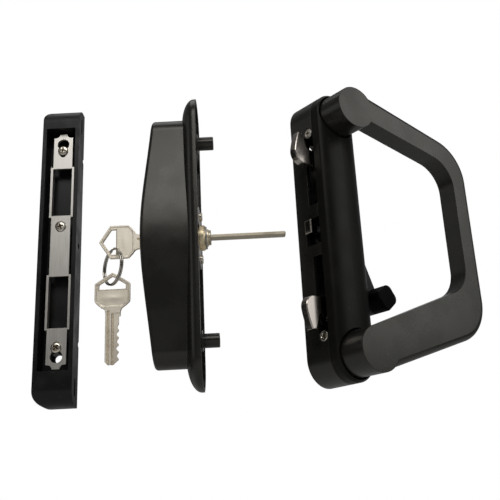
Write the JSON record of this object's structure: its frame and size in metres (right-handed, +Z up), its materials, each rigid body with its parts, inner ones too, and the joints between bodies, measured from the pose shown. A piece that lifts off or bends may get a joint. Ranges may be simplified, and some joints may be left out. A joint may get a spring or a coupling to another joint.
{
  "type": "sliding patio door handle set",
  "caption": "Sliding patio door handle set: jamb keeper with steel strike, outside pull with keyed cylinder, inside twin-hook latch with D handle and snib lever.",
  "frame": {"origin": "on the cylinder's axis, in the plane of the outside pull's rim, midway between its posts", "axes": "+X from outdoors to indoors along the cylinder and the posts, +Y into the jamb's depth behind the keeper's front, +Z up"},
  "size_m": [0.264, 0.0662, 0.1856],
  "materials": {
    "black_coat": "satin powder coat",
    "strike_steel": "brushed",
    "screw_steel": "zinc plated",
    "cylinder_brass": "turned",
    "plug_brass": "turned",
    "key_nickel": "nickel plated",
    "hook_chrome": "polished",
    "bare_steel": "stamped",
    "black_plastic": "moulded"
  },
  "bodies": {
    "fixed_pieces": {"keeper_housing": "black_coat", "strike_insert": "strike_steel", "strike_top_screw": "screw_steel", "strike_bottom_screw": "screw_steel", "strike_centre_screw": "screw_steel", "pull_body": "black_coat", "cylinder_body": "cylinder_brass", "retaining_plate": "bare_steel", "retaining_screws": "screw_steel", "lock_case": "black_coat", "front_cover": "black_coat", "d_handle": "black_coat", "handle_screws": "screw_steel", "cover_screws": "screw_steel", "hook_pivots": "bare_steel"},
    "plug": {"cylinder_plug": "plug_brass", "wafer_tumblers": "plug_brass", "plug_clip": "bare_steel", "tailpiece": "bare_steel"},
    "key": {"inserted_key": "key_nickel"},
    "ring": {"key_ring": "key_nickel"},
    "hanging_key": {"spare_key": "key_nickel"},
    "snib": {"hub": "bare_steel", "snib_lever": "black_coat", "snib_knob": "black_plastic"},
    "hook_up": {"upper_hook": "hook_chrome"},
    "hook_down": {"lower_hook": "hook_chrome"},
    "slide_up": {"upper_slide": "bare_steel"},
    "slide_down": {"lower_slide": "bare_steel"},
    "plunger": {"anti_slam_plunger": "hook_chrome", "plunger_spring": "bare_steel"}
  },
  "joints": [
    {"name": "plug_turn", "type": "hinge", "parent": "fixed_pieces", "child": "plug", "pos_m": [0, 0, 0], "axis": [1, 0, 0], "range_deg": [-90, 90]},
    {"name": "key_slide", "type": "slide", "parent": "plug", "child": "key", "axis": [1, 0, 0], "range_m": [-0.028, 0]},
    {"name": "ring_swing", "type": "hinge", "parent": "key", "child": "ring", "pos_m": [-0.05, 0, -0.0026], "axis": [0, 1, 0], "range_deg": [-6, 20]},
    {"name": "spare_key_swing", "type": "hinge", "parent": "ring", "child": "hanging_key", "pos_m": [-0.05, 0, -0.0234], "axis": [0, 1, 0], "range_deg": [-8, 20]},
    {"name": "snib_turn", "type": "hinge", "parent": "fixed_pieces", "child": "snib", "pos_m": [0.0682, 0.0203, 0.0015], "axis": [0.6561, -0.7547, 0], "range_deg": [0, 70]},
    {"name": "upper_hook_turn", "type": "hinge", "parent": "fixed_pieces", "child": "hook_up", "pos_m": [0.07932, 0.01208, 0.0455], "axis": [0.6561, -0.7547, 0], "range_deg": [0, 88]},
    {"name": "lower_hook_turn", "type": "hinge", "parent": "fixed_pieces", "child": "hook_down", "pos_m": [0.07932, 0.01208, -0.0425], "axis": [-0.6561, 0.7547, 0], "range_deg": [0, 88]},
    {"name": "upper_slide_run", "type": "slide", "parent": "fixed_pieces", "child": "slide_up", "axis": [0, 0, -1], "range_m": [0, 0.01111]},
    {"name": "lower_slide_run", "type": "slide", "parent": "fixed_pieces", "child": "slide_down", "axis": [0, 0, 1], "range_m": [0, 0.01111]},
    {"name": "plunger_press", "type": "slide", "parent": "fixed_pieces", "child": "plunger", "axis": [0.7547, 0.6561, 0], "range_m": [0, 0.0015], "stiffness_N_per_m": 200, "springref_m": -0.001, "deforming": ["plunger_spring"]}
  ],
  "couplings": [
    {"joint": "upper_hook_turn", "follows": "snib_turn", "ratio": 1.2571},
    {"joint": "lower_hook_turn", "follows": "snib_turn", "ratio": 1.2571},
    {"joint": "upper_slide_run", "follows": "snib_turn", "m_per_rad": 0.0090974},
    {"joint": "lower_slide_run", "follows": "snib_turn", "m_per_rad": 0.0090974}
  ]
}
